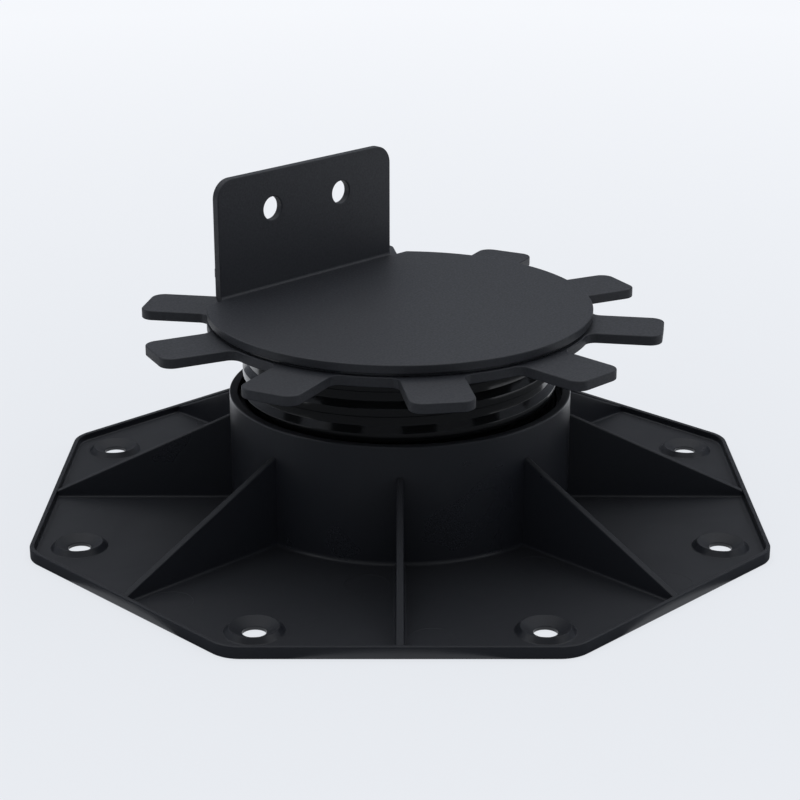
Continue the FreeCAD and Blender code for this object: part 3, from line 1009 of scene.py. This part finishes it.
def hang_lamps(scene, size):
    """A wide soft light overhead and a weaker one from the right."""
    for name, place, side, power in (("key_light", KEY_PLACE, KEY_SIDE, size.key_power),
                                     ("fill_light", FILL_PLACE, FILL_SIDE, size.fill_power)):
        lamp = bpy.data.lights.new(name, "AREA")
        lamp.shape = "SQUARE"
        lamp.size = side
        lamp.energy = power
        piece = bpy.data.objects.new(name, lamp)
        piece.location = place
        aim = Vector(LIT_POINT) - Vector(place)
        piece.rotation_euler = aim.to_track_quat("-Z", "Y").to_euler()
        piece.visible_glossy = False
        scene.collection.objects.link(piece)


def light_room(scene, size, finish):
    """Even light all round, behind a backdrop that is seen at full strength."""
    world = bpy.data.worlds.new("soft_room")
    world.use_nodes = True
    tree = world.node_tree
    tree.nodes.clear()
    room = add(tree, "ShaderNodeBackground", {"Color": tuple(finish.floor_far),
                                              "Strength": size.room_light})
    backdrop = add(tree, "ShaderNodeBackground", {"Color": tuple(finish.floor_far),
                                                  "Strength": 1.0})
    both = add(tree, "ShaderNodeMixShader", None, {0: seen_directly(tree),
                                                   1: room.outputs["Background"],
                                                   2: backdrop.outputs["Background"]})
    add(tree, "ShaderNodeOutputWorld", None, {"Surface": both.outputs["Shader"]})
    scene.world = world


# Operators


def settings():
    """All sizes and colours of the scene."""
    return bpy.context.scene.pedestal


def placed(piece, body, nodes):
    """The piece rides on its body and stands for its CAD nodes."""
    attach(piece, body)
    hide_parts(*nodes)


class PEDESTAL_OT_base(bpy.types.Operator):
    """Moulded base with its rim, ribs, fixing holes and threaded boss"""

    bl_idname = "pedestal.base"
    bl_label = "Base"

    def execute(self, context):
        sizes = settings()
        shell = Shell()
        build_base(shell, sizes.base, sizes.stem)
        piece = shell.object("moulded_base", moulded_polypropylene(sizes.finish.base_black))
        placed(piece, "base", ["base"])
        return {"FINISHED"}


class PEDESTAL_OT_stem(bpy.types.Operator):
    """Hollow screw stem with its buttress thread and spigot"""

    bl_idname = "pedestal.stem"
    bl_label = "Screw stem"

    def execute(self, context):
        sizes = settings()
        shell = Shell()
        build_stem(shell, sizes.stem, node_low("screw_stem"), node_high("screw_stem"))
        piece = shell.object("threaded_stem", moulded_polyamide(sizes.finish.stem_black))
        placed(piece, "screw", ["screw_stem"])
        return {"FINISHED"}


class PEDESTAL_OT_sheets(bpy.types.Operator):
    """Tabbed plate, slip disc and bent joist bracket"""

    bl_idname = "pedestal.sheets"
    bl_label = "Plates and bracket"

    def execute(self, context):
        sizes = settings()
        coat = powder_coat(sizes.finish.coat_black)
        shell = Shell()
        build_tab_plate(shell, sizes.tab_plate, sizes.stem, node_low("tab_plate"),
                        node_high("tab_plate"))
        placed(shell.object("tabbed_plate", coat), "screw", ["tab_plate"])

        slip = polyethylene_sheet(sizes.finish.slip_black)
        shell = Shell()
        build_slip_disc(shell, node_width("slip_disc") / 2.0, sizes.stem.stud_r,
                        node_low("slip_disc"), node_high("slip_disc"), sizes.bracket.slip_soft)
        placed(shell.object("slip_sheet", slip), "slider", ["slip_disc"])

        size = sizes.bracket
        low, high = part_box("joist_bracket")
        radius = (high.x - low.x) / 2.0
        bend_y = size.upright_y - size.bend_r
        disc_low = node_low("joist_bracket")
        disc_top = disc_low + size.sheet_t
        shell = Shell()
        build_bracket_disc(shell, size, radius, bend_y, disc_low, disc_top)
        build_upright(shell, size, bend_y, disc_top, high.z)
        placed(shell.object("bent_bracket", coat), "head", ["joist_bracket"])
        return {"FINISHED"}


class PEDESTAL_OT_fasteners(bpy.types.Operator):
    """Zinc-plated finish for the pivot stud, its washer and its lock nut"""

    bl_idname = "pedestal.fasteners"
    bl_label = "Fasteners"

    def execute(self, context):
        zinc = zinc_plate(settings().finish.zinc)
        for node in ("pivot_stud", "pivot_washer", "lock_nut"):
            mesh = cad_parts[node].data
            mesh.materials.clear()
            mesh.materials.append(zinc)
        return {"FINISHED"}


class PEDESTAL_OT_stage(bpy.types.Operator):
    """Camera, pale floor and soft studio light"""

    bl_idname = "pedestal.stage"
    bl_label = "Stage"

    def execute(self, context):
        sizes = settings()
        scene = bpy.context.scene
        scene.view_settings.view_transform = "Standard"
        set_camera(scene, sizes.stage)
        lay_floor(sizes.stage, sizes.finish)
        stand_reflection_cards(sizes.stage, sizes.finish)
        hang_lamps(scene, sizes.stage)
        light_room(scene, sizes.stage, sizes.finish)
        return {"FINISHED"}


class PedestalSettings(bpy.types.PropertyGroup):
    """Everything that the operators read."""

    base: PointerProperty(name="Base", description="Sizes of the base", type=BaseSizes)
    stem: PointerProperty(name="Stem", description="Sizes of the stem", type=StemSizes)
    tab_plate: PointerProperty(name="Tabbed plate", description="Sizes of the tabbed plate",
                               type=TabPlateSizes)
    bracket: PointerProperty(name="Bracket", description="Sizes of the bracket and slip disc",
                             type=BracketSizes)
    finish: PointerProperty(name="Finishes", description="Colours", type=Finishes)
    stage: PointerProperty(name="Stage", description="Camera, floor and light", type=StageSizes)


class PEDESTAL_PT_pieces(bpy.types.Panel):
    """Buttons that build the pieces and the stage"""

    bl_idname = "PEDESTAL_PT_pieces"
    bl_label = "Decking pedestal"
    bl_space_type = "VIEW_3D"
    bl_region_type = "UI"
    bl_category = "Pedestal"

    def draw(self, context):
        column = self.layout.column()
        for operator in OPERATORS:
            column.operator(operator.bl_idname)


GROUPS = (BaseSizes, StemSizes, TabPlateSizes, BracketSizes, Finishes, StageSizes,
          PedestalSettings)
OPERATORS = (PEDESTAL_OT_base, PEDESTAL_OT_stem, PEDESTAL_OT_sheets, PEDESTAL_OT_fasteners,
             PEDESTAL_OT_stage)
CLASSES = GROUPS + OPERATORS + (PEDESTAL_PT_pieces,)


def register():
    """Makes the settings, the operators and the panel known to Blender."""
    for item in CLASSES:
        bpy.utils.register_class(item)
    bpy.types.Scene.pedestal = PointerProperty(type=PedestalSettings)


def unregister():
    """Takes them away again."""
    del bpy.types.Scene.pedestal
    for item in reversed(CLASSES):
        bpy.utils.unregister_class(item)


def main():
    """Builds every piece and the stage."""
    register()
    bpy.ops.pedestal.base()
    bpy.ops.pedestal.stem()
    bpy.ops.pedestal.sheets()
    bpy.ops.pedestal.fasteners()
    bpy.ops.pedestal.stage()


if __name__ == "__main__":
    main()
